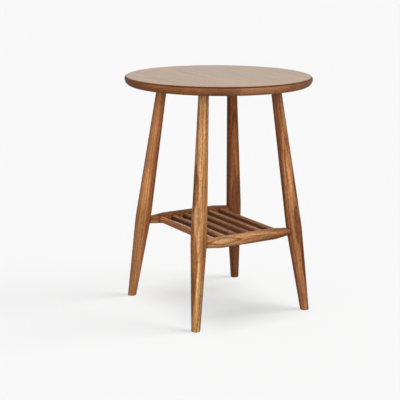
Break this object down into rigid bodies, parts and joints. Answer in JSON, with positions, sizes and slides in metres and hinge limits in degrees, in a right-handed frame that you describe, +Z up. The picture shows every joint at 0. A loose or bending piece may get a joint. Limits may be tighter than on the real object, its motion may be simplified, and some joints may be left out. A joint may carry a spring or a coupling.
{
  "type": "lamp table",
  "caption": "Small round side table with a rounded-rim top of edge-glued boards, splayed turned legs and a lower shelf of round rods between two turned rails.",
  "frame": {"origin": "on the floor, under the centre of the round top", "axes": "+Z up, X along the two shelf rails, Y along the shelf rods and the grain of the top"},
  "size_m": [0.45, 0.45, 0.57],
  "materials": {
    "top_wood": "satin lacquer over mid-brown stain",
    "leg_wood": "satin lacquer over mid-brown stain",
    "shelf_wood": "satin lacquer over mid-brown stain"
  },
  "bodies": {
    "root": {"top_board_1": "top_wood", "top_board_2": "top_wood", "top_board_3": "top_wood", "top_board_4": "top_wood", "top_board_5": "top_wood", "top_board_6": "top_wood", "front_left_leg": "leg_wood", "front_right_leg": "leg_wood", "back_left_leg": "leg_wood", "back_right_leg": "leg_wood", "front_shelf_rail": "shelf_wood", "back_shelf_rail": "shelf_wood", "shelf_rod_1": "shelf_wood", "shelf_rod_2": "shelf_wood", "shelf_rod_3": "shelf_wood", "shelf_rod_4": "shelf_wood", "shelf_rod_5": "shelf_wood", "shelf_rod_6": "shelf_wood"}
  },
  "joints": []
}
